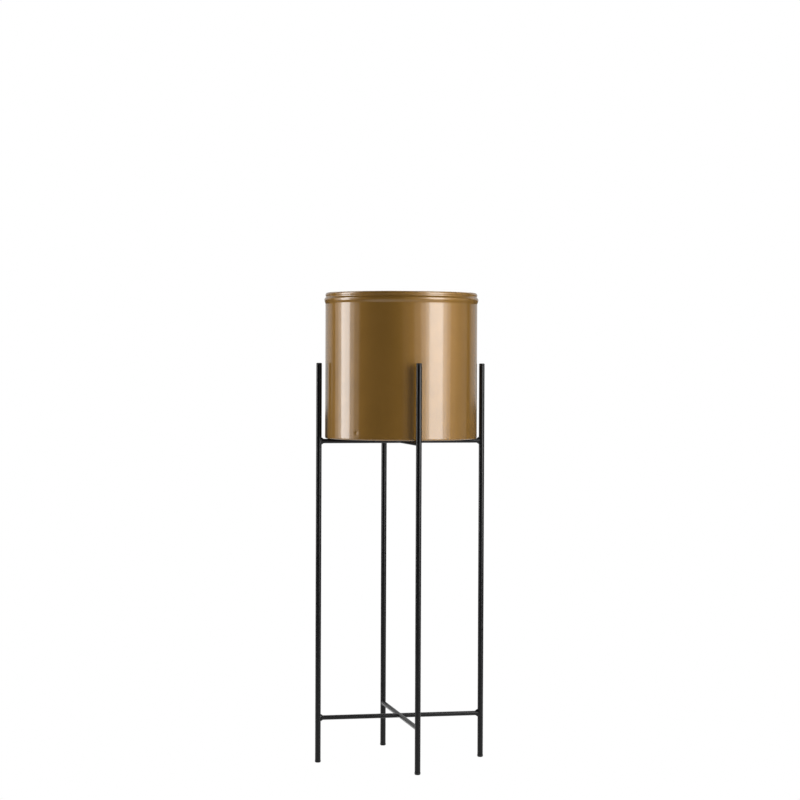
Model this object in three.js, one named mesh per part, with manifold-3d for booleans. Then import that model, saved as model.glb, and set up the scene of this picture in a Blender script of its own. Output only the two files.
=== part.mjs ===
// Round metal planter on its stand. Four upright tubes are joined by two crosses of round bar,
// and the sheet-metal pot stands on the upper cross, held between the tubes.
// Millimetres, +Z up. The floor is z = 0 and the Z axis is the axis of stand and pot.
// The front tube stands on -Y and the right tube on +X.

import * as THREE from 'three';
import { mergeVertices } from 'three/addons/utils/BufferGeometryUtils.js';
import Module from 'manifold-3d';

// ---- Pot ----
const POT_DIAMETER = 300; // outside of the plain wall
const POT_HEIGHT = 287;
const SHEET_THICKNESS = 1;
const POT_CORNER_RADIUS = 3; // outside radius where the wall turns in under the pot
const POT_FLANGE_WIDTH = 12; // turned-in ring that the pot stands on
const RIM_CURL_DIAMETER = 8; // outside of the edge rolled inwards at the mouth
const RIM_CURL_TURN = THREE.MathUtils.degToRad(270); // how far the edge is rolled
const RIM_BEAD_DROP = 15; // top of the pot to the middle of the bead
const RIM_BEAD_HEIGHT = 13;
const RIM_BEAD_PROUD = 2.2; // how far the bead stands out from the wall
const RIM_NECK_DEPTH = 1; // how far the wall is drawn in between bead and rolled edge
const BASE_STEP_DIAMETER = 220; // pressed-up middle of the base, which stiffens it
const BASE_STEP_HEIGHT = 3;
const BASE_STEP_WIDTH = 6; // sloping ring round the pressed-up middle

// ---- Stand ----
const STAND_HEIGHT = 786; // floor to the top of the leg caps
const LEG_DIAMETER = 11;
const LEG_WALL = 1;
const POT_SIDE_CLEARANCE = 9; // pot wall to the near side of each leg
const POT_HOLD_DEPTH = 149; // leg tops above the bars that the pot stands on
const BAR_DIAMETER = 9;
const LOWER_CROSS_HEIGHT = 88; // floor to the centre line of the lower cross

// ---- Plugs in the ends of the legs ----
const CAP_HEAD_HEIGHT = 4;
const CAP_EDGE_RADIUS = 1.8;
const FOOT_HEAD_HEIGHT = 5;
const FOOT_EDGE_RADIUS = 2.4;
const FOOT_OVERHANG = 0.3; // how far a foot stands out round its leg
const PLUG_STEM_LENGTH = 14;
const PLUG_STEM_CHAMFER = 1;

// ---- Welds ----
const WELD_RADIUS = 3; // section of the bead laid into the corner between two bars
const WELD_STANDOFF = 0.7; // centre of the bead above both surfaces
const WELD_LUMPS = 5;
const WELD_LUMP_DEPTH = 0.25; // how much the bead swells and narrows

// ---- Clearances ----
const SEAT_GAP = 0.3; // between one piece and the piece it rests on or is welded to
const PLUG_FIT = 0.3; // between a plug's stem and the bore of its leg

// ---- Facets ----
const POT_SEGMENTS = 60;
const BAR_SEGMENTS = 24;
const PLUG_SEGMENTS = 16;
const CORNER_STEPS = 3;
const BEAD_STEPS = 6;
const CURL_STEPS = 9;
const CURL_FOOT_STEPS = 2;
const WELD_SECTION_SEGMENTS = 6;
const WELD_RING_SEGMENTS = 16;

// ---- Sizes that follow from those above ----
const QUARTER_TURN = Math.PI / 2;
const QUARTER_TURN_DEGREES = THREE.MathUtils.radToDeg(QUARTER_TURN);
const POT_RADIUS = POT_DIAMETER / 2;
const LEG_RADIUS = LEG_DIAMETER / 2;
const BAR_RADIUS = BAR_DIAMETER / 2;
const LEG_CENTRE_RADIUS = POT_RADIUS + POT_SIDE_CLEARANCE + LEG_RADIUS;
const SEAT_HEIGHT = STAND_HEIGHT - POT_HOLD_DEPTH;
const UPPER_CROSS_HEIGHT = SEAT_HEIGHT - BAR_RADIUS;
const CUT_REACH = 2 * (LEG_DIAMETER + BAR_DIAMETER); // half length of a cutting tool at a joint

const blackCoat = new THREE.MeshStandardMaterial({ color: 0x242424, roughness: 0.5, metalness: 0.1 });
const blackPlastic = new THREE.MeshStandardMaterial({ color: 0x141414, roughness: 0.6, metalness: 0 });
const goldFinish = new THREE.MeshStandardMaterial({ color: 0xb58c4c, roughness: 0.3, metalness: 1 });

const wasm = await Module();
wasm.setup();

function toSolid(geometry) {
  const bare = geometry.clone();
  bare.deleteAttribute('normal');
  bare.deleteAttribute('uv');
  const merged = mergeVertices(bare);
  const vertProperties = Float32Array.from(merged.attributes.position.array);
  const triVerts = Uint32Array.from(merged.index.array);
  return new wasm.Manifold(new wasm.Mesh({ numProp: 3, vertProperties, triVerts }));
}

function toGeometry(solid) {
  const mesh = solid.getMesh();
  const geometry = new THREE.BufferGeometry();
  geometry.setAttribute('position', new THREE.BufferAttribute(mesh.vertProperties, mesh.numProp));
  geometry.setIndex(new THREE.BufferAttribute(mesh.triVerts, 1));
  return geometry;
}

function shaded(geometry) {
  const facets = geometry.index ? geometry.toNonIndexed() : geometry;
  facets.computeVertexNormals();
  return facets;
}

function addMesh(parent, name, geometry, material) {
  const mesh = new THREE.Mesh(geometry, material);
  mesh.name = name;
  parent.add(mesh);
  return mesh;
}

// Turns a profile of (radius, height) points round the Z axis.
function turned(profile, segments) {
  return new THREE.LatheGeometry(profile, segments).rotateX(QUARTER_TURN);
}

function rod(radius, from, to, segments = BAR_SEGMENTS) {
  const length = to - from;
  const geometry = new THREE.CylinderGeometry(radius, radius, length, segments);
  return geometry.rotateX(QUARTER_TURN).translate(0, 0, from + length / 2);
}

// Points along an arc, both ends included. Angles run anticlockwise from the outward radius.
function arc(centreRadius, centreHeight, radius, fromAngle, toAngle, steps) {
  const points = [];
  for (let i = 0; i <= steps; i += 1) {
    const angle = THREE.MathUtils.lerp(fromAngle, toAngle, i / steps);
    const across = centreRadius + radius * Math.cos(angle);
    const up = centreHeight + radius * Math.sin(angle);
    points.push(new THREE.Vector2(across, up));
  }
  return points;
}

// The outline of bent sheet: its middle line, set off by half the thickness to each side.
function sheetOutline(middle, thickness, startsOnAxis) {
  const outer = [];
  const inner = [];
  middle.forEach((point, i) => {
    const before = middle[Math.max(i - 1, 0)];
    const after = middle[Math.min(i + 1, middle.length - 1)];
    const along = after.clone().sub(before).normalize();
    if (startsOnAxis && i === 0) {
      along.set(1, 0);
    }
    const across = new THREE.Vector2(along.y, -along.x).multiplyScalar(thickness / 2);
    outer.push(point.clone().add(across));
    inner.unshift(point.clone().sub(across));
  });
  const outline = [...outer, ...inner];
  if (!startsOnAxis) {
    outline.push(outline[0].clone());
  }
  return outline;
}

// ---- Pot: wall with turned-in foot ring, bead and rolled edge ----
function potWall() {
  const middleRadius = POT_RADIUS - SHEET_THICKNESS / 2;
  const cornerRadius = POT_CORNER_RADIUS - SHEET_THICKNESS / 2;
  const curlRadius = (RIM_CURL_DIAMETER - SHEET_THICKNESS) / 2;
  const flangeEnd = new THREE.Vector2(POT_RADIUS - POT_FLANGE_WIDTH, SHEET_THICKNESS / 2);
  const corner = arc(
    POT_RADIUS - POT_CORNER_RADIUS, POT_CORNER_RADIUS, cornerRadius, -QUARTER_TURN, 0, CORNER_STEPS,
  );
  const bead = [];
  for (let i = 0; i <= BEAD_STEPS; i += 1) {
    const share = i / BEAD_STEPS;
    const swell = RIM_BEAD_PROUD * Math.sin(Math.PI * share) ** 2;
    const height = POT_HEIGHT - RIM_BEAD_DROP + RIM_BEAD_HEIGHT * (share - 1 / 2);
    const drawnIn = RIM_NECK_DEPTH * THREE.MathUtils.smoothstep(share, 1 / 2, 1);
    bead.push(new THREE.Vector2(middleRadius + swell - drawnIn, height));
  }
  const curlCentre = [middleRadius - curlRadius, POT_HEIGHT - RIM_CURL_DIAMETER / 2];
  const neckAngle = -Math.acos(1 - RIM_NECK_DEPTH / curlRadius);
  const curlFoot = arc(...curlCentre, curlRadius, neckAngle, 0, CURL_FOOT_STEPS);
  const curl = arc(...curlCentre, curlRadius, 0, RIM_CURL_TURN, CURL_STEPS);
  const middle = [flangeEnd, ...corner, ...bead, ...curlFoot, ...curl.slice(1)];
  return shaded(turned(sheetOutline(middle, SHEET_THICKNESS, false), POT_SEGMENTS));
}

// ---- Pot: base disc that lies inside the wall on its foot ring ----
function potBase() {
  const seat = SHEET_THICKNESS + SEAT_GAP + SHEET_THICKNESS / 2;
  const stepRadius = BASE_STEP_DIAMETER / 2;
  const middle = [
    new THREE.Vector2(0, seat + BASE_STEP_HEIGHT),
    new THREE.Vector2(stepRadius, seat + BASE_STEP_HEIGHT),
    new THREE.Vector2(stepRadius + BASE_STEP_WIDTH, seat),
    new THREE.Vector2(POT_RADIUS - POT_CORNER_RADIUS, seat),
  ];
  return shaded(turned(sheetOutline(middle, SHEET_THICKNESS, true), POT_SEGMENTS));
}

// ---- Stand: one upright tube, open at both ends ----
function legTube() {
  const bore = LEG_RADIUS - LEG_WALL;
  const bottom = FOOT_HEAD_HEIGHT + SEAT_GAP;
  const top = STAND_HEIGHT - CAP_HEAD_HEIGHT - SEAT_GAP;
  const outline = [
    new THREE.Vector2(bore, bottom),
    new THREE.Vector2(LEG_RADIUS, bottom),
    new THREE.Vector2(LEG_RADIUS, top),
    new THREE.Vector2(bore, top),
    new THREE.Vector2(bore, bottom),
  ];
  return shaded(turned(outline, BAR_SEGMENTS));
}

// ---- Stand: plug with its rounded head below z = 0 and its stem above the head ----
function legPlug(headRadius, headHeight, edgeRadius) {
  const stemRadius = LEG_RADIUS - LEG_WALL - PLUG_FIT;
  const stemTop = headHeight + PLUG_STEM_LENGTH;
  const edge = arc(headRadius - edgeRadius, edgeRadius, edgeRadius, -QUARTER_TURN, 0, CORNER_STEPS);
  const outline = [
    new THREE.Vector2(0, 0),
    ...edge,
    new THREE.Vector2(headRadius, headHeight),
    new THREE.Vector2(stemRadius, headHeight),
    new THREE.Vector2(stemRadius, stemTop - PLUG_STEM_CHAMFER),
    new THREE.Vector2(stemRadius - PLUG_STEM_CHAMFER, stemTop),
    new THREE.Vector2(0, stemTop),
  ];
  return shaded(turned(outline, PLUG_SEGMENTS));
}

// ---- Cutting tools in the frame of a joint: the bar runs along +X, the leg along Z ----
function barTool(radius, from, to) {
  return toSolid(rod(radius, from, to).rotateY(QUARTER_TURN));
}

function legTool(radius) {
  return toSolid(rod(radius, -CUT_REACH, CUT_REACH));
}

function throughBarTool(radius) {
  return toSolid(rod(radius, -CUT_REACH, CUT_REACH).rotateX(QUARTER_TURN));
}

// ---- Stand: bar from the front leg to the back leg, with both ends coped to the tubes ----
function throughBar() {
  const cope = legTool(LEG_RADIUS + SEAT_GAP);
  const bar = barTool(BAR_RADIUS, -LEG_CENTRE_RADIUS, LEG_CENTRE_RADIUS)
    .subtract(cope.translate(LEG_CENTRE_RADIUS, 0, 0))
    .subtract(cope.translate(-LEG_CENTRE_RADIUS, 0, 0));
  return shaded(toGeometry(bar));
}

// ---- Stand: bar from the through bar out to a side leg, coped at both ends ----
function halfBar() {
  const bar = barTool(BAR_RADIUS, 0, LEG_CENTRE_RADIUS)
    .subtract(legTool(LEG_RADIUS + SEAT_GAP).translate(LEG_CENTRE_RADIUS, 0, 0))
    .subtract(throughBarTool(BAR_RADIUS + SEAT_GAP));
  return shaded(toGeometry(bar));
}

// ---- Welds: a lumpy ring laid round the bar where it meets a round member along Z ----
function weldRing(memberRadius) {
  const ringRadius = BAR_RADIUS + WELD_STANDOFF;
  const saddleRadius = memberRadius + WELD_STANDOFF;
  const ring = new THREE.TorusGeometry(
    ringRadius, WELD_RADIUS, WELD_SECTION_SEGMENTS, WELD_RING_SEGMENTS,
  ).rotateY(QUARTER_TURN);
  const position = ring.attributes.position;
  const vertex = new THREE.Vector3();
  for (let i = 0; i < position.count; i += 1) {
    vertex.fromBufferAttribute(position, i);
    const angle = Math.atan2(vertex.z, vertex.y);
    const swell = 1 + WELD_LUMP_DEPTH / 2 * Math.sin(WELD_LUMPS * angle);
    const outward = ringRadius + (Math.hypot(vertex.y, vertex.z) - ringRadius) * swell;
    const sideways = ringRadius * Math.cos(angle);
    const saddle = Math.sqrt(Math.max(saddleRadius ** 2 - sideways ** 2, 0));
    vertex.set(saddle + vertex.x * swell, outward * Math.cos(angle), outward * Math.sin(angle));
    position.setXYZ(i, vertex.x, vertex.y, vertex.z);
  }
  return toSolid(ring);
}

// ---- Weld between a bar and its leg ----
function legWeld() {
  const weld = weldRing(LEG_RADIUS)
    .subtract(legTool(LEG_RADIUS + SEAT_GAP))
    .subtract(barTool(BAR_RADIUS + SEAT_GAP, 0, CUT_REACH));
  return shaded(toGeometry(weld));
}

// ---- Weld where both half bars meet the through bar. Under the pot its top is ground flat ----
function crossWeld(groundFlat) {
  const ring = weldRing(BAR_RADIUS).rotate([QUARTER_TURN_DEGREES, 0, 0]);
  let weld = ring.add(ring.rotate([0, 0, 2 * QUARTER_TURN_DEGREES]))
    .subtract(throughBarTool(BAR_RADIUS + SEAT_GAP))
    .subtract(barTool(BAR_RADIUS + SEAT_GAP, -CUT_REACH, CUT_REACH));
  if (groundFlat) {
    const aboveBars = new THREE.BoxGeometry(CUT_REACH, CUT_REACH, CUT_REACH);
    weld = weld.subtract(toSolid(aboveBars.translate(0, 0, BAR_RADIUS + CUT_REACH / 2)));
  }
  return shaded(toGeometry(weld));
}

// ---- Assembly ----
const SIDES = { left: Math.PI, back: QUARTER_TURN, right: 0, front: -QUARTER_TURN };
const CROSSES = { lower: LOWER_CROSS_HEIGHT, upper: UPPER_CROSS_HEIGHT };

function onLegCircle(mesh, angle, height) {
  mesh.position.set(LEG_CENTRE_RADIUS * Math.cos(angle), LEG_CENTRE_RADIUS * Math.sin(angle), height);
  return mesh;
}

function buildLegs(stand) {
  const tube = legTube();
  const cap = legPlug(LEG_RADIUS, CAP_HEAD_HEIGHT, CAP_EDGE_RADIUS);
  const foot = legPlug(LEG_RADIUS + FOOT_OVERHANG, FOOT_HEAD_HEIGHT, FOOT_EDGE_RADIUS);
  Object.entries(SIDES).forEach(([side, angle]) => {
    onLegCircle(addMesh(stand, `leg_${side}`, tube, blackCoat), angle, 0);
    onLegCircle(addMesh(stand, `foot_${side}`, foot, blackPlastic), angle, 0);
    const topCap = addMesh(stand, `cap_${side}`, cap, blackPlastic);
    onLegCircle(topCap, angle, STAND_HEIGHT).rotation.x = Math.PI;
  });
}

function buildCrosses(stand) {
  const frontToBack = throughBar();
  const toTheSide = halfBar();
  const bead = legWeld();
  Object.entries(CROSSES).forEach(([cross, height]) => {
    const through = addMesh(stand, `${cross}_bar_front_back`, frontToBack, blackCoat);
    through.position.z = height;
    through.rotation.z = QUARTER_TURN;
    ['left', 'right'].forEach((side) => {
      const bar = addMesh(stand, `${cross}_bar_${side}`, toTheSide, blackCoat);
      bar.position.z = height;
      bar.rotation.z = SIDES[side];
    });
    Object.entries(SIDES).forEach(([side, angle]) => {
      const weld = addMesh(stand, `${cross}_weld_${side}`, bead, blackCoat);
      onLegCircle(weld, angle, height).rotation.z = angle + Math.PI;
    });
    const centreWeld = crossWeld(height === UPPER_CROSS_HEIGHT);
    addMesh(stand, `${cross}_weld_centre`, centreWeld, blackCoat).position.z = height;
  });
}

function buildPot(pot) {
  addMesh(pot, 'pot_wall', potWall(), goldFinish);
  addMesh(pot, 'pot_base', potBase(), goldFinish);
  pot.position.z = SEAT_HEIGHT + SEAT_GAP;
}

const plantStand = new THREE.Group();
const stand = new THREE.Group();
const pot = new THREE.Group();
buildLegs(stand);
buildCrosses(stand);
buildPot(pot);
plantStand.add(stand, pot);

export default plantStand;
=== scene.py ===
"""Looks of the round gold pot on its black stand, dressed on the CAD frame.

Metres, +Z up, the stand's front leg on -Y.
"""

import math

import bpy
from mathutils import Matrix, Vector, noise


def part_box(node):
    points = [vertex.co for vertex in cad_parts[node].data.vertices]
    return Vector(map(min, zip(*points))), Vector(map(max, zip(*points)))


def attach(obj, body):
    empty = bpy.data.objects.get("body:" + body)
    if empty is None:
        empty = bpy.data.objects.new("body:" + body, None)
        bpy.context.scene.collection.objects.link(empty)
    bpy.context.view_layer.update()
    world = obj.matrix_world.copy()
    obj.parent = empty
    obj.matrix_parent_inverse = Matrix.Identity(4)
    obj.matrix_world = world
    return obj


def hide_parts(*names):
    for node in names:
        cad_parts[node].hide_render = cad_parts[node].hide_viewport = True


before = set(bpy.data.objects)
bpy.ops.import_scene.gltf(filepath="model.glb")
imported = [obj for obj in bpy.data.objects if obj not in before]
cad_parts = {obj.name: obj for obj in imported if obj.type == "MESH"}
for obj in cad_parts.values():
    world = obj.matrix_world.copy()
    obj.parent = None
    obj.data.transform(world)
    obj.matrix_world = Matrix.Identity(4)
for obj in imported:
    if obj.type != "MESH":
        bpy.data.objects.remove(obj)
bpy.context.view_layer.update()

MM = 0.001
QUARTER = math.pi / 2
FULL = 2 * math.pi
SIDES = {"left": math.pi, "back": QUARTER, "right": 0.0, "front": -QUARTER}

# ---- Sizes read from the frame ----
wall_low, wall_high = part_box("pot_wall")
base_low, base_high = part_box("pot_base")
leg_low, leg_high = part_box("leg_front")
cap_low, cap_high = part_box("cap_front")
foot_low, foot_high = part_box("foot_front")

BEAD_PROUD = 2.2 * MM
SHEET = 1.0 * MM
POT_RADIUS = (wall_high.x - wall_low.x) / 2 - BEAD_PROUD
POT_BOTTOM = wall_low.z
POT_TOP = wall_high.z
LEG_RADIUS = (leg_high.x - leg_low.x) / 2
LEG_CIRCLE = -(leg_high.y + leg_low.y) / 2
STAND_TOP = cap_high.z


def bar_size(cross):
    """Height of a cross's centre line and the radius of its bars."""
    low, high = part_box(f"{cross}_bar_right")
    return (low.z + high.z) / 2, (high.z - low.z) / 2


CROSSES = {cross: bar_size(cross)[0] for cross in ("lower", "upper")}
BAR_RADIUS = bar_size("upper")[1]


# ---- Mesh helpers ----
ON_AXIS = 1e-7


def add_piece(name, verts, faces, material, body, node, sharp_angle=40):
    mesh = bpy.data.meshes.new(name)
    mesh.from_pydata([tuple(v) for v in verts], [], faces)
    mesh.validate()
    mesh.polygons.foreach_set("use_smooth", [True] * len(mesh.polygons))
    mesh.set_sharp_from_angle(angle=math.radians(sharp_angle))
    mesh.materials.append(material)
    piece = bpy.data.objects.new(name, mesh)
    bpy.context.scene.collection.objects.link(piece)
    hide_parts(node)
    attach(piece, body)
    return piece


def even(count):
    """Angles that divide a full turn evenly."""
    return [FULL * i / count for i in range(count)]


def turned(profile, angles, centre=(0.0, 0.0), shift=None):
    """Turns (radius, height) points round a vertical axis. Points on the axis become one vertex."""
    verts, rings = [], []
    count = len(angles)
    for radius, height in profile:
        if radius < ON_AXIS:
            rings.append([len(verts)] * count)
            verts.append(Vector((centre[0], centre[1], height)))
            continue
        rings.append(list(range(len(verts), len(verts) + count)))
        for angle in angles:
            moved = shift(radius, angle, height) if shift else radius
            x = centre[0] + moved * math.cos(angle)
            y = centre[1] + moved * math.sin(angle)
            verts.append(Vector((x, y, height)))
    faces = []
    for low, high in zip(rings, rings[1:]):
        for i in range(count):
            j = (i + 1) % count
            faces.append(list(dict.fromkeys([low[i], low[j], high[j], high[i]])))
    return verts, faces


def closed(profile, angles, centre=(0.0, 0.0), shift=None):
    """Turns a profile whose last point joins its first."""
    verts, faces = turned(profile, angles, centre, shift)
    count = len(angles)
    last = len(verts) - count
    for i in range(count):
        j = (i + 1) % count
        faces.append([last + i, last + j, j, i])
    return verts, faces


def arc(centre, radius, start, end, steps):
    points = []
    for i in range(steps + 1):
        angle = start + (end - start) * i / steps
        x = centre[0] + radius * math.cos(angle)
        y = centre[1] + radius * math.sin(angle)
        points.append(Vector((x, y)))
    return points


def smoothstep(x):
    x = min(max(x, 0.0), 1.0)
    return x * x * (3 - 2 * x)


def sheet_outline(middle, thickness, starts_on_axis=False):
    """Both faces of a bent sheet, from the line through its middle."""
    outer, inner = [], []
    for i, point in enumerate(middle):
        along = (middle[min(i + 1, len(middle) - 1)] - middle[max(i - 1, 0)]).normalized()
        if starts_on_axis and i == 0:
            along = Vector((1.0, 0.0))
        across = Vector((along.y, -along.x)) * thickness / 2
        outer.append(point + across)
        inner.insert(0, point - across)
    return outer + inner


# ---- Materials ----
WHITE = (1.0, 1.0, 1.0, 1.0)
GOLD_DEEP = (0.157, 0.0820, 0.0168)
GOLD_PALE = (0.168, 0.0880, 0.0187)
GOLD_INSIDE = (0.170, 0.088, 0.0200)
GOLD_FLECK = (0.222, 0.121, 0.0290)
FLECK_SHARE = 0.25
INSIDE_ROUGHER = 0.08
COAT_DEEP = (0.0015, 0.0015, 0.0017)
COAT_PALE = (0.0022, 0.0022, 0.0024)
PLASTIC_DEEP = (0.0030, 0.0030, 0.0030)
PLASTIC_PALE = (0.0045, 0.0045, 0.0045)

# The part of a noise's range that a ramp stretches: soft patches, and a gentler change of gloss
PATCHES = (0.35, 0.65)
GLOSS = (0.3, 0.7)


class Nodes:
    """A small helper that adds nodes to one material and links them."""

    def __init__(self, name):
        self.material = bpy.data.materials.new(name)
        self.material.use_nodes = True
        self.tree = self.material.node_tree
        self.tree.nodes.clear()
        self.shader = self.add("ShaderNodeBsdfPrincipled")
        output = self.add("ShaderNodeOutputMaterial")
        self.tree.links.new(self.shader.outputs["BSDF"], output.inputs["Surface"])
        self.coordinates = self.add("ShaderNodeTexCoord")
        self.place = self.coordinates.outputs["Object"]

    def add(self, kind, **settings):
        node = self.tree.nodes.new(kind)
        for key, value in settings.items():
            setattr(node, key, value)
        return node

    def set(self, **values):
        for key, value in values.items():
            self.shader.inputs[key.replace("_", " ")].default_value = value

    def noise(self, scale, detail=3.0, roughness=0.55, stretch=None):
        place = self.place
        if stretch:
            mapping = self.add("ShaderNodeMapping")
            mapping.inputs["Scale"].default_value = stretch
            self.tree.links.new(place, mapping.inputs["Vector"])
            place = mapping.outputs["Vector"]
        node = self.add("ShaderNodeTexNoise")
        node.inputs["Scale"].default_value = scale
        node.inputs["Detail"].default_value = detail
        node.inputs["Roughness"].default_value = roughness
        self.tree.links.new(place, node.inputs["Vector"])
        return node.outputs["Fac"]

    def ramp(self, source, low, high, value_low=0.0, value_high=1.0):
        node = self.add("ShaderNodeMapRange", interpolation_type="SMOOTHSTEP")
        node.inputs["From Min"].default_value = low
        node.inputs["From Max"].default_value = high
        node.inputs["To Min"].default_value = value_low
        node.inputs["To Max"].default_value = value_high
        self.tree.links.new(source, node.inputs["Value"])
        return node.outputs["Result"]

    def maths(self, operation, first, second):
        node = self.add("ShaderNodeMath", operation=operation)
        for socket, value in zip(node.inputs, (first, second)):
            if isinstance(value, float):
                socket.default_value = value
            else:
                self.tree.links.new(value, socket)
        return node.outputs["Value"]

    def mix(self, factor, first, second):
        node = self.add("ShaderNodeMix", data_type="RGBA")
        for socket, value in zip((node.inputs[6], node.inputs[7]), (first, second)):
            if isinstance(value, tuple):
                socket.default_value = (*value, 1.0)
            else:
                self.tree.links.new(value, socket)
        self.tree.links.new(factor, node.inputs[0])
        return node.outputs[2]

    def bump(self, height, strength, distance, below=None):
        node = self.add("ShaderNodeBump")
        node.inputs["Strength"].default_value = strength
        node.inputs["Distance"].default_value = distance
        self.tree.links.new(height, node.inputs["Height"])
        if below:
            self.tree.links.new(below, node.inputs["Normal"])
        return node.outputs["Normal"]

    def link(self, source, socket):
        self.tree.links.new(source, self.shader.inputs[socket])


def facing_in(m):
    """1 on the side of the sheet that faces the pot's axis, 0 on its outside."""
    across = m.add("ShaderNodeVectorMath", operation="MULTIPLY")
    across.inputs[1].default_value = (1.0, 1.0, 0.0)
    m.tree.links.new(m.place, across.inputs[0])
    outward = m.add("ShaderNodeVectorMath", operation="NORMALIZE")
    m.tree.links.new(across.outputs["Vector"], outward.inputs[0])
    dot = m.add("ShaderNodeVectorMath", operation="DOT_PRODUCT")
    m.tree.links.new(outward.outputs["Vector"], dot.inputs[0])
    m.tree.links.new(m.coordinates.outputs["Normal"], dot.inputs[1])
    return m.ramp(dot.outputs["Value"], low=-0.2, high=0.2, value_low=1.0, value_high=0.0)


def gold_lacquer():
    """Lacquer with fine flecks and cloudy colour, orange peel and a clear coat; duller inside."""
    m = Nodes("gold_lacquer")
    inside = facing_in(m)
    cloud = m.ramp(m.noise(scale=9.0, detail=4.0), *PATCHES)
    fleck = m.ramp(m.noise(scale=1400.0, detail=1.0), *PATCHES)
    outer = m.mix(cloud, GOLD_DEEP, GOLD_PALE)
    body = m.mix(inside, outer, GOLD_INSIDE)
    m.link(m.mix(m.maths("MULTIPLY", fleck, FLECK_SHARE), body, GOLD_FLECK), "Base Color")
    uneven = m.ramp(m.noise(scale=30.0, detail=5.0), *GLOSS, value_low=0.62, value_high=0.68)
    m.link(m.maths("ADD", uneven, m.maths("MULTIPLY", inside, INSIDE_ROUGHER)), "Roughness")
    peel = m.bump(m.noise(scale=420.0, detail=2.0), strength=0.05, distance=0.2 * MM)
    swell = m.noise(scale=16.0, detail=1.0, stretch=(1.0, 1.0, 0.4))
    m.link(m.bump(swell, strength=0.10, distance=1.0 * MM, below=peel), "Normal")
    m.set(Metallic=0.7, Specular_IOR_Level=0.0, Coat_Weight=1.0, Coat_Roughness=0.10, Coat_IOR=1.5)
    return m.material


def black_coat():
    """Black powder coat with fine grain."""
    m = Nodes("black_powder_coat")
    cloud = m.ramp(m.noise(scale=40.0, detail=4.0), *PATCHES)
    m.link(m.mix(cloud, COAT_DEEP, COAT_PALE), "Base Color")
    uneven = m.ramp(m.noise(scale=120.0, detail=3.0), *GLOSS, value_low=0.27, value_high=0.33)
    m.link(uneven, "Roughness")
    grain = m.bump(m.noise(scale=1600.0, detail=2.0), strength=0.06, distance=0.03 * MM)
    swell = m.noise(scale=90.0, detail=2.0)
    m.link(m.bump(swell, strength=0.03, distance=0.10 * MM, below=grain), "Normal")
    m.set(Metallic=0.0, IOR=1.5, Specular_IOR_Level=0.22)
    return m.material


def black_plastic():
    """Dull black plastic of the plugs."""
    m = Nodes("black_plastic")
    cloud = m.ramp(m.noise(scale=60.0, detail=3.0), *PATCHES)
    m.link(m.mix(cloud, PLASTIC_DEEP, PLASTIC_PALE), "Base Color")
    m.link(m.ramp(m.noise(scale=200.0), *GLOSS, value_low=0.44, value_high=0.56), "Roughness")
    m.link(m.bump(m.noise(scale=900.0, detail=2.0), strength=0.12, distance=0.06 * MM), "Normal")
    m.set(Metallic=0.0, IOR=1.45, Specular_IOR_Level=0.35)
    return m.material


GOLD = gold_lacquer()
BLACK = black_coat()
PLASTIC = black_plastic()

# ---- Pot: the wall with its foot ring, bead and rolled edge ----
CORNER_RADIUS = 3 * MM
FLANGE_WIDTH = 12 * MM
CURL_DIAMETER = 8 * MM
CURL_TALL = 9 * MM
BEAD_DROP = 13.5 * MM
BEAD_ABOVE = 5 * MM
BEAD_BELOW = 9 * MM
BEAD_FLARE = 1.5
NECK_DEPTH = 0.6 * MM
FINE_ZONE = 26 * MM

CORNER_STEPS = 10
FINE_STEPS = 20
WALL_STEPS = 40
BEAD_STEPS = 28
NECK_STEPS = 8
CURL_STEPS = 30

# ---- Pot: the waves of its sheet and its dent ----
WAVE_DEPTH = 0.18 * MM
WAVES_ROUND = 2.2
WAVES_PER_METRE = 5.0
WAVE_FADE = 30 * MM
DENT_ANGLE = math.radians(-137)
DENT_HEIGHT = POT_BOTTOM + 14 * MM
DENT_REACH = 5 * MM
DENT_DEPTH = 0.6 * MM
DENT_STEEPNESS = 2.0
DENT_DEGREES = 4
DENT_FINENESS = 4
FINE_DEGREES = 0.375


def sheet_wave(radius, angle, height):
    """The slight unevenness of rolled sheet, strongest half way up, and one small dent."""
    place = Vector((
        math.cos(angle) * WAVES_ROUND,
        math.sin(angle) * WAVES_ROUND,
        height * WAVES_PER_METRE,
    ))
    above_foot = smoothstep((height - POT_BOTTOM) / WAVE_FADE)
    free = above_foot * smoothstep((POT_TOP - BEAD_DROP - height) / WAVE_FADE)
    moved = radius - WAVE_DEPTH * free * (0.5 + 0.5 * noise.noise(place))
    turn = (angle - DENT_ANGLE + math.pi) % FULL - math.pi
    away = math.hypot(turn * POT_RADIUS, height - DENT_HEIGHT) / DENT_REACH
    return moved - DENT_DEPTH * math.exp(-away * away * DENT_STEEPNESS)


def wall_angles():
    """Every 1.5 degrees, and four times as close across the dent."""
    dent = math.degrees(DENT_ANGLE) % 360
    angles = []
    for i in range(round(360 / FINE_DEGREES)):
        degrees = i * FINE_DEGREES
        if i % DENT_FINENESS == 0 or abs(degrees - dent) < DENT_DEGREES:
            angles.append(math.radians(degrees))
    return angles


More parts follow.
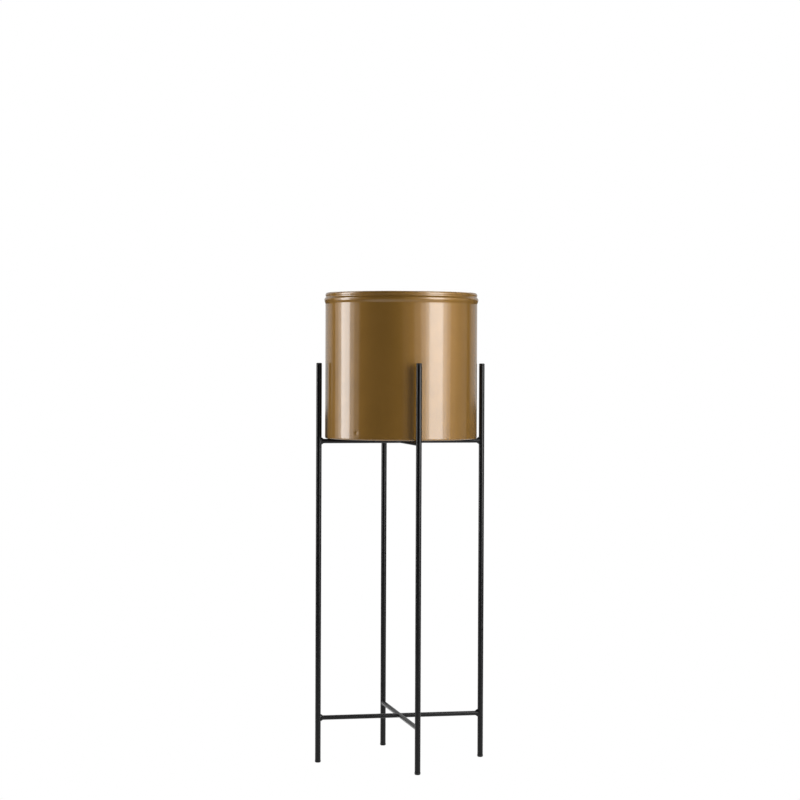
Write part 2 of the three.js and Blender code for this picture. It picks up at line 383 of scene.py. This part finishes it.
def pot_wall():
    middle_radius = POT_RADIUS - SHEET / 2
    curl_radius = (CURL_DIAMETER - SHEET) / 2
    corner_centre = (POT_RADIUS - CORNER_RADIUS, POT_BOTTOM + CORNER_RADIUS)
    middle = [Vector((POT_RADIUS - FLANGE_WIDTH, POT_BOTTOM + SHEET / 2))]
    middle += arc(corner_centre, CORNER_RADIUS - SHEET / 2, -QUARTER, 0, CORNER_STEPS)
    bead_low = POT_TOP - BEAD_DROP - BEAD_BELOW
    fine_top = POT_BOTTOM + FINE_ZONE
    low = middle[-1].y
    for i in range(1, FINE_STEPS + 1):
        middle.append(Vector((middle_radius, low + (fine_top - low) * i / FINE_STEPS)))
    for i in range(1, WALL_STEPS):
        middle.append(Vector((middle_radius, fine_top + (bead_low - fine_top) * i / WALL_STEPS)))
    for i in range(BEAD_STEPS + 1):
        above = (BEAD_BELOW + BEAD_ABOVE) * i / BEAD_STEPS - BEAD_BELOW
        away = abs(above) / (BEAD_ABOVE if above > 0 else BEAD_BELOW)
        swell = BEAD_PROUD * abs(math.cos(QUARTER * away)) ** BEAD_FLARE
        drawn_in = NECK_DEPTH * smoothstep(above / BEAD_ABOVE)
        middle.append(Vector((middle_radius + swell - drawn_in, POT_TOP - BEAD_DROP + above)))
    neck_angle = -math.acos(1 - NECK_DEPTH / curl_radius)
    curl = arc((0, 0), 1, neck_angle, 0, NECK_STEPS) + arc((0, 0), 1, 0, 3 * QUARTER, CURL_STEPS)[1:]
    for point in curl:
        middle.append(Vector((
            middle_radius + curl_radius * (point.x - 1),
            POT_TOP - CURL_TALL / 2 + (CURL_TALL - SHEET) / 2 * point.y,
        )))
    verts, faces = closed(sheet_outline(middle, SHEET), wall_angles(), shift=sheet_wave)
    add_piece("gold_pot_wall", verts, faces, GOLD, "pot", "pot_wall")


# ---- Pot: the floor with its pressed step ----
STEP_RADIUS = 110 * MM
STEP_WIDTH = 6 * MM
STEP_STEPS = 12
BASE_ROUND = even(144)


def pot_base():
    step_height = base_high.z - base_low.z - SHEET
    low = base_low.z + SHEET / 2
    edge = (base_high.x - base_low.x) / 2
    middle = [Vector((STEP_RADIUS * i / STEP_STEPS, low + step_height)) for i in range(STEP_STEPS)]
    for i in range(STEP_STEPS + 1):
        share = i / STEP_STEPS
        height = low + step_height * (1 - smoothstep(share))
        middle.append(Vector((STEP_RADIUS + STEP_WIDTH * share, height)))
    middle.append(Vector((edge, low)))
    verts, faces = turned(sheet_outline(middle, SHEET, starts_on_axis=True), BASE_ROUND)
    add_piece("gold_pot_base", verts, faces, GOLD, "pot", "pot_base")


# ---- Stand: tubes and their plugs ----
TUBE_WALL = 1 * MM
TUBE_END_GAP = 0.25 * MM
EDGE = 0.25 * MM
PLUG_FIT = 0.3 * MM
STEM_BEVEL = 1 * MM
CAP_HEAD = 4 * MM
CAP_ROUNDING = 1.8 * MM
FOOT_HEAD = 5 * MM
FOOT_ROUNDING = 2.4 * MM
OUTSIDE_STEPS = 24
BORE_STEPS = 12
ROUNDING_STEPS = 10
ROUND = even(48)


def side_place(side):
    return LEG_CIRCLE * math.cos(SIDES[side]), LEG_CIRCLE * math.sin(SIDES[side])


def tube(side):
    bore = LEG_RADIUS - TUBE_WALL
    low, high = leg_low.z - TUBE_END_GAP, leg_high.z + TUBE_END_GAP
    profile = [(bore, low), (LEG_RADIUS - EDGE, low), (LEG_RADIUS, low + EDGE)]
    rise = high - low - 2 * EDGE
    for i in range(1, OUTSIDE_STEPS + 1):
        profile.append((LEG_RADIUS, low + EDGE + rise * i / OUTSIDE_STEPS))
    profile += [(LEG_RADIUS - EDGE, high), (bore, high)]
    profile += [(bore, high - (high - low) * i / BORE_STEPS) for i in range(1, BORE_STEPS)]
    verts, faces = closed(profile, ROUND, side_place(side))
    add_piece(f"tube_{side}", verts, faces, BLACK, "stand", f"leg_{side}")


def plug(name, node, side, head_radius, rounding, heights):
    """A plug with a rounded head.

    The heights are those of its head's face, its shoulder and its stem's end.
    """
    face, shoulder, end = heights
    inward = 1 if end > face else -1
    stem_radius = LEG_RADIUS - TUBE_WALL - PLUG_FIT
    profile = [(0.0, face), ((head_radius - rounding) / 2, face)]
    rounded = arc((head_radius - rounding, rounding), rounding, -QUARTER, 0, ROUNDING_STEPS)
    profile += [(point.x, face + inward * point.y) for point in rounded]
    profile += [(head_radius, shoulder - inward * EDGE), (head_radius - EDGE, shoulder)]
    profile += [(stem_radius, shoulder), (stem_radius, end - inward * STEM_BEVEL)]
    profile += [(stem_radius - STEM_BEVEL, end), (0.0, end)]
    verts, faces = turned(profile, ROUND, side_place(side))
    if inward < 0:
        faces = [f[::-1] for f in faces]
    add_piece(name, verts, faces, PLASTIC, "stand", node)


def plugs(side):
    foot_radius = (foot_high.x - foot_low.x) / 2
    top = (STAND_TOP, STAND_TOP - CAP_HEAD, cap_low.z)
    bottom = (foot_low.z, foot_low.z + FOOT_HEAD, foot_high.z)
    plug(f"top_plug_{side}", f"cap_{side}", side, LEG_RADIUS, CAP_ROUNDING, top)
    plug(f"floor_plug_{side}", f"foot_{side}", side, foot_radius, FOOT_ROUNDING, bottom)


# ---- Stand: bars, with their ends coped into what they meet ----
SUNK = 0.3 * MM
SAME_AXIS_Y, SAME_AXIS_Z = 2, 1  # the axis of the bar's frame in which a member's roundness is met
BAR_SEGMENTS = 40
BAR_STEPS = 30


def cope_depth(local, member):
    radius, across = member
    return math.sqrt(max(radius * radius - local[across] * local[across], 0.0))


def bar(name, node, ends, members, turn, height):
    """A round bar on local +X between two centre lines, stopped by the round members there."""
    verts = []
    for k in range(BAR_STEPS + 1):
        for i in range(BAR_SEGMENTS):
            angle = FULL * i / BAR_SEGMENTS
            local = [0.0, BAR_RADIUS * math.cos(angle), BAR_RADIUS * math.sin(angle)]
            low = ends[0] + cope_depth(local, members[0])
            high = ends[1] - cope_depth(local, members[1])
            local[0] = low + (high - low) * k / BAR_STEPS
            verts.append(Vector(local))
    verts.append(Vector((ends[0] + members[0][0], 0.0, 0.0)))
    verts.append(Vector((ends[1] - members[1][0], 0.0, 0.0)))
    first, last = len(verts) - 2, len(verts) - 1
    last_ring = BAR_STEPS * BAR_SEGMENTS
    faces = []
    for i in range(BAR_SEGMENTS):
        j = (i + 1) % BAR_SEGMENTS
        for k in range(BAR_STEPS):
            near, far = k * BAR_SEGMENTS, (k + 1) * BAR_SEGMENTS
            faces.append([near + i, near + j, far + j, far + i])
        faces.append([first, j, i])
        faces.append([last, last_ring + i, last_ring + j])
    place = Matrix.Translation((0, 0, height)) @ Matrix.Rotation(turn, 4, "Z")
    add_piece(name, [place @ v for v in verts], faces, BLACK, "stand", node)


def bars(cross):
    height = CROSSES[cross]
    leg = (LEG_RADIUS - SUNK, SAME_AXIS_Z)
    through = (BAR_RADIUS - SUNK, SAME_AXIS_Y)
    long_ends = (-LEG_CIRCLE, LEG_CIRCLE)
    bar(f"{cross}_long_bar", f"{cross}_bar_front_back", long_ends, (leg, leg), QUARTER, height)
    short_ends = (0.0, LEG_CIRCLE)
    for side in ("left", "right"):
        name, node = f"{cross}_short_bar_{side}", f"{cross}_bar_{side}"
        bar(name, node, short_ends, (through, leg), SIDES[side], height)


# ---- Stand: welds ----
WELD_STEPS = 96
WELD_SECTION = 10
WELD_UP = 2.9 * MM
WELD_ALONG = 4.4 * MM
WELD_BURIED = 0.2 * MM
WELD_CROWN = 0.56
WELD_NARROWING = 1.5
LUMPS_ROUND = 1.4
LUMP_SEED_STEP = 3.7
LUMP_SHARE = 0.5
RIPPLE_DEPTH = 0.11 * MM
RIPPLES_ROUND = 22
RIPPLE_BOW = 5
LEG_SIDE_SHARE = 0.5
CENTRE_SIDE_SHARE = 0.4
CENTRE_SEED = 9


def weld_ring(member_radius, seed, side_share):
    """A fillet laid round a bar on +X where it meets a round member on Z, lumpy and rippled.

    The side share is how much of its size is left where the two round surfaces run off each other.
    """
    verts = []
    for i in range(WELD_STEPS):
        angle = FULL * i / WELD_STEPS
        side, up = math.cos(angle), math.sin(angle)
        lump = noise.noise(Vector((side * LUMPS_ROUND, up * LUMPS_ROUND, seed * LUMP_SEED_STEP)))
        grip = side_share + (1 - side_share) * abs(up) ** WELD_NARROWING
        grip *= 1 + LUMP_SHARE * lump
        start = math.asin(max(-1.0, min(1.0, BAR_RADIUS * side / member_radius)))
        turn = start + WELD_UP * grip * side / member_radius
        corner = Vector((member_radius * math.cos(start), BAR_RADIUS * side, BAR_RADIUS * up))
        inner = member_radius - WELD_BURIED
        rise = (BAR_RADIUS + WELD_UP * grip) * up
        on_member = Vector((inner * math.cos(turn), inner * math.sin(turn), rise))
        shrunk = 1 - WELD_BURIED / BAR_RADIUS
        on_bar = Vector((corner.x + WELD_ALONG * grip, corner.y * shrunk, corner.z * shrunk))
        out = (on_member + on_bar - 2 * corner).normalized()
        crown = corner + (on_member - corner) * WELD_CROWN + (on_bar - corner) * WELD_CROWN
        for k in range(WELD_SECTION + 1):
            s = k / WELD_SECTION
            wave = math.sin(RIPPLES_ROUND * angle + RIPPLE_BOW * (s - 0.5) ** 2 + seed)
            ripple = RIPPLE_DEPTH * wave * math.sin(math.pi * s)
            fillet = on_member * (1 - s) ** 2 + crown * 2 * s * (1 - s) + on_bar * s * s
            verts.append(fillet + out * ripple)
        verts.append(corner - Vector((SUNK * math.cos(start), SUNK * side, SUNK * up)))
    ring = WELD_SECTION + 2
    faces = []
    for i in range(WELD_STEPS):
        j = (i + 1) % WELD_STEPS
        for k in range(ring):
            n = (k + 1) % ring
            faces.append([i * ring + k, j * ring + k, j * ring + n, i * ring + n])
    return verts, faces


def weld(name, node, member_radius, side_share, seed, places, top=None):
    """One or two fillets at their places, with what stands above the top ground off."""
    verts, faces = [], []
    for n, place in enumerate(places):
        ring_verts, ring_faces = weld_ring(member_radius, seed + n, side_share)
        offset = len(verts)
        verts += [place @ v for v in ring_verts]
        faces += [[offset + index for index in face] for face in ring_faces]
    for v in verts:
        if top is not None and v.z > top:
            v.z = top
    add_piece(name, verts, faces, BLACK, "stand", node, sharp_angle=60)


def welds(cross, seed, top=None):
    """The welds of a cross. Only the one at its centre can be ground flat, where a top is given."""
    height = CROSSES[cross]
    for n, side in enumerate(SIDES):
        x, y = side_place(side)
        place = Matrix.Translation((x, y, height)) @ Matrix.Rotation(SIDES[side] + math.pi, 4, "Z")
        name, node = f"{cross}_joint_{side}", f"{cross}_weld_{side}"
        weld(name, node, LEG_RADIUS, LEG_SIDE_SHARE, seed + 2 * n, [place])
    on_side = Matrix.Rotation(QUARTER, 4, "X")
    lift = Matrix.Translation((0, 0, height))
    places = [lift @ on_side, lift @ Matrix.Rotation(math.pi, 4, "Z") @ on_side]
    name, node = f"{cross}_joint_centre", f"{cross}_weld_centre"
    weld(name, node, BAR_RADIUS, CENTRE_SIDE_SHARE, seed + CENTRE_SEED, places, top)


pot_wall()
pot_base()
for side in SIDES:
    tube(side)
    plugs(side)
for cross in CROSSES:
    bars(cross)
welds("lower", seed=1)
welds("upper", seed=20, top=CROSSES["upper"] + BAR_RADIUS)

# ---- Camera ----
CAMERA_AZIMUTH = math.radians(-12.029)
CAMERA_DISTANCE = 4.32295
CAMERA_HEIGHT = 0.787018
CAMERA_ASIDE = -0.001987
CAMERA_PITCH = math.radians(0.98)
CAMERA_ROLL = math.radians(0.228)
CAMERA_LENS = 98.377
CAMERA_SENSOR = 36.0
LEVEL_FORWARD = Vector((-math.sin(CAMERA_AZIMUTH), math.cos(CAMERA_AZIMUTH), 0.0))
LEVEL_RIGHT = Vector((math.cos(CAMERA_AZIMUTH), math.sin(CAMERA_AZIMUTH), 0.0))
UP = Vector((0.0, 0.0, 1.0))


def make_camera():
    data = bpy.data.cameras.new("camera")
    data.sensor_width = CAMERA_SENSOR
    data.lens = CAMERA_LENS
    camera = bpy.data.objects.new("camera", data)
    bpy.context.scene.collection.objects.link(camera)
    forward = LEVEL_FORWARD * math.cos(CAMERA_PITCH) - UP * math.sin(CAMERA_PITCH)
    upward = UP * math.cos(CAMERA_PITCH) + LEVEL_FORWARD * math.sin(CAMERA_PITCH)
    x = LEVEL_RIGHT * math.cos(CAMERA_ROLL) + upward * math.sin(CAMERA_ROLL)
    y = upward * math.cos(CAMERA_ROLL) - LEVEL_RIGHT * math.sin(CAMERA_ROLL)
    place = LEVEL_FORWARD * -CAMERA_DISTANCE + LEVEL_RIGHT * CAMERA_ASIDE + UP * CAMERA_HEIGHT
    camera.matrix_world = Matrix.Translation(place) @ Matrix((x, y, -forward)).transposed().to_4x4()
    bpy.context.scene.camera = camera


# ---- Stage: pale floor and pale surroundings, plain white where the camera sees them ----
FLOOR_GREY = (0.20, 0.20, 0.20, 1.0)
FLOOR_REACH = 30.0
GLOW_STARTS, GLOW_FULL = 0.54, 0.72  # cosine of the angle to the level view direction
GLOW_LEAST, GLOW_MOST = 0.02, 0.58


def stage_tree(owner, output_kind):
    owner.use_nodes = True
    owner.node_tree.nodes.clear()
    return owner.node_tree, owner.node_tree.nodes.new(output_kind)


def seen_and_lit(tree, output, seen, lit):
    """Shows the camera one shader, and lights the object with another."""
    path = tree.nodes.new("ShaderNodeLightPath")
    mix = tree.nodes.new("ShaderNodeMixShader")
    tree.links.new(path.outputs["Is Camera Ray"], mix.inputs[0])
    tree.links.new(lit.outputs[0], mix.inputs[1])
    tree.links.new(seen.outputs[0], mix.inputs[2])
    tree.links.new(mix.outputs["Shader"], output.inputs["Surface"])


def floor():
    material = bpy.data.materials.new("pale_floor")
    tree, output = stage_tree(material, "ShaderNodeOutputMaterial")
    seen = tree.nodes.new("ShaderNodeEmission")
    seen.inputs["Color"].default_value = WHITE
    lit = tree.nodes.new("ShaderNodeBsdfDiffuse")
    lit.inputs["Color"].default_value = FLOOR_GREY
    seen_and_lit(tree, output, seen, lit)
    corners = [(-1, -1), (1, -1), (1, 1), (-1, 1)]
    mesh = bpy.data.meshes.new("floor")
    mesh.from_pydata([(FLOOR_REACH * x, FLOOR_REACH * y, 0) for x, y in corners], [], [(0, 1, 2, 3)])
    mesh.materials.append(material)
    piece = bpy.data.objects.new("floor", mesh)
    bpy.context.scene.collection.objects.link(piece)


def surroundings():
    """Pale behind the object, and dim round it so that the lights shape what it reflects."""
    world = bpy.data.worlds.new("studio")
    bpy.context.scene.world = world
    tree, output = stage_tree(world, "ShaderNodeOutputWorld")
    place = tree.nodes.new("ShaderNodeTexCoord")
    away = tree.nodes.new("ShaderNodeVectorMath")
    away.operation = "DOT_PRODUCT"
    away.inputs[1].default_value = LEVEL_FORWARD
    tree.links.new(place.outputs["Generated"], away.inputs[0])
    glow = tree.nodes.new("ShaderNodeMapRange")
    glow.interpolation_type = "SMOOTHSTEP"
    glow.inputs["From Min"].default_value = GLOW_STARTS
    glow.inputs["From Max"].default_value = GLOW_FULL
    glow.inputs["To Min"].default_value = GLOW_LEAST
    glow.inputs["To Max"].default_value = GLOW_MOST
    tree.links.new(away.outputs["Value"], glow.inputs["Value"])
    seen = tree.nodes.new("ShaderNodeBackground")
    lit = tree.nodes.new("ShaderNodeBackground")
    seen.inputs["Color"].default_value = WHITE
    lit.inputs["Color"].default_value = WHITE
    tree.links.new(glow.outputs["Result"], lit.inputs["Strength"])
    seen_and_lit(tree, output, seen, lit)


# ---- Stage: soft lights ----
LIGHT_TARGET = Vector((0.0, 0.0, 0.72))
BOUNCE_HEIGHT = 2 * MM
SOFTBOX_DISTANCE = 1.7
SOFTBOX_LAYER = 0.03
SOFTBOX_LOWEST = 0.25
SOFTBOX_HIGHEST = 2.01

# Name, layer, first and last angle in degrees to the camera's right, radiance, lower edge.
# The right highlight has three steps more of light that start higher, so it fades downwards.
SOFTBOXES = (
    ("right_core", 0, 40.5, 64.0, 5.3, SOFTBOX_LOWEST),
    ("right_core_step_0", -1, 40.5, 64.0, 0.5, 0.68),
    ("right_core_step_1", -2, 40.5, 64.0, 0.5, 0.80),
    ("right_core_step_2", -3, 40.5, 64.0, 0.5, 0.92),
    ("right_middle", 1, 35.0, 71.0, 2.3, SOFTBOX_LOWEST),
    ("right_edge", 2, 28.0, 78.0, 1.8, SOFTBOX_LOWEST),
    ("right_spill", 3, 18.0, 88.0, 0.75, SOFTBOX_LOWEST),
    ("right_fill", 4, 2.0, 30.0, 0.2, SOFTBOX_LOWEST),
    ("right_side", 3, 84.0, 114.0, 0.4, SOFTBOX_LOWEST),
    ("left_core", 0, -99.5, -80.5, 6.9, SOFTBOX_LOWEST),
    ("left_edge", 1, -107.0, -72.0, 1.5, SOFTBOX_LOWEST),
    ("left_spill", 2, -116.0, -63.0, 1.0, SOFTBOX_LOWEST),
)


def area_light(name, width, tall, radiance):
    """A light that shines from a rectangle and is not seen itself."""
    data = bpy.data.lights.new(name, "AREA")
    data.shape = "RECTANGLE"
    data.size = width
    data.size_y = tall
    data.energy = radiance * math.pi * width * tall
    light = bpy.data.objects.new(name, data)
    bpy.context.scene.collection.objects.link(light)
    light.visible_camera = False
    return light


def soft_light(name, angle, distance, height, width, tall, radiance):
    """A soft light aimed at the object. The angle is about the vertical, to the camera's right."""
    light = area_light(name, width, tall, radiance)
    turn = -QUARTER + CAMERA_AZIMUTH + math.radians(angle)
    light.location = Vector((distance * math.cos(turn), distance * math.sin(turn), height))
    light.rotation_mode = "QUATERNION"
    light.rotation_quaternion = (LIGHT_TARGET - light.location).to_track_quat("-Z", "Y")


def softbox(name, layer, first, last, radiance, lowest):
    """A tall panel of light, seen from the object between two angles. Layers keep panels apart."""
    distance = SOFTBOX_DISTANCE + layer * SOFTBOX_LAYER
    width = 2 * distance * math.tan(math.radians(last - first) / 2)
    height = (lowest + SOFTBOX_HIGHEST) / 2
    soft_light(name, (first + last) / 2, distance, height, width, SOFTBOX_HIGHEST - lowest, radiance)


def floor_bounce(side, radiance):
    """The light that the bright floor round the object throws back up."""
    light = area_light("floor_bounce", side, side, radiance)
    light.location = (0.0, 0.0, BOUNCE_HEIGHT)
    light.rotation_euler = (math.pi, 0.0, 0.0)


make_camera()
floor()
surroundings()
for panel in SOFTBOXES:
    softbox(*panel)
soft_light("high_back", angle=180, distance=1.6, height=2.4, width=2.2, tall=1.4, radiance=2.5)
soft_light("overhead", angle=150, distance=0.8, height=2.5, width=1.0, tall=0.7, radiance=5.0)
floor_bounce(side=3.0, radiance=0.9)
bpy.context.scene.view_settings.view_transform = "Standard"
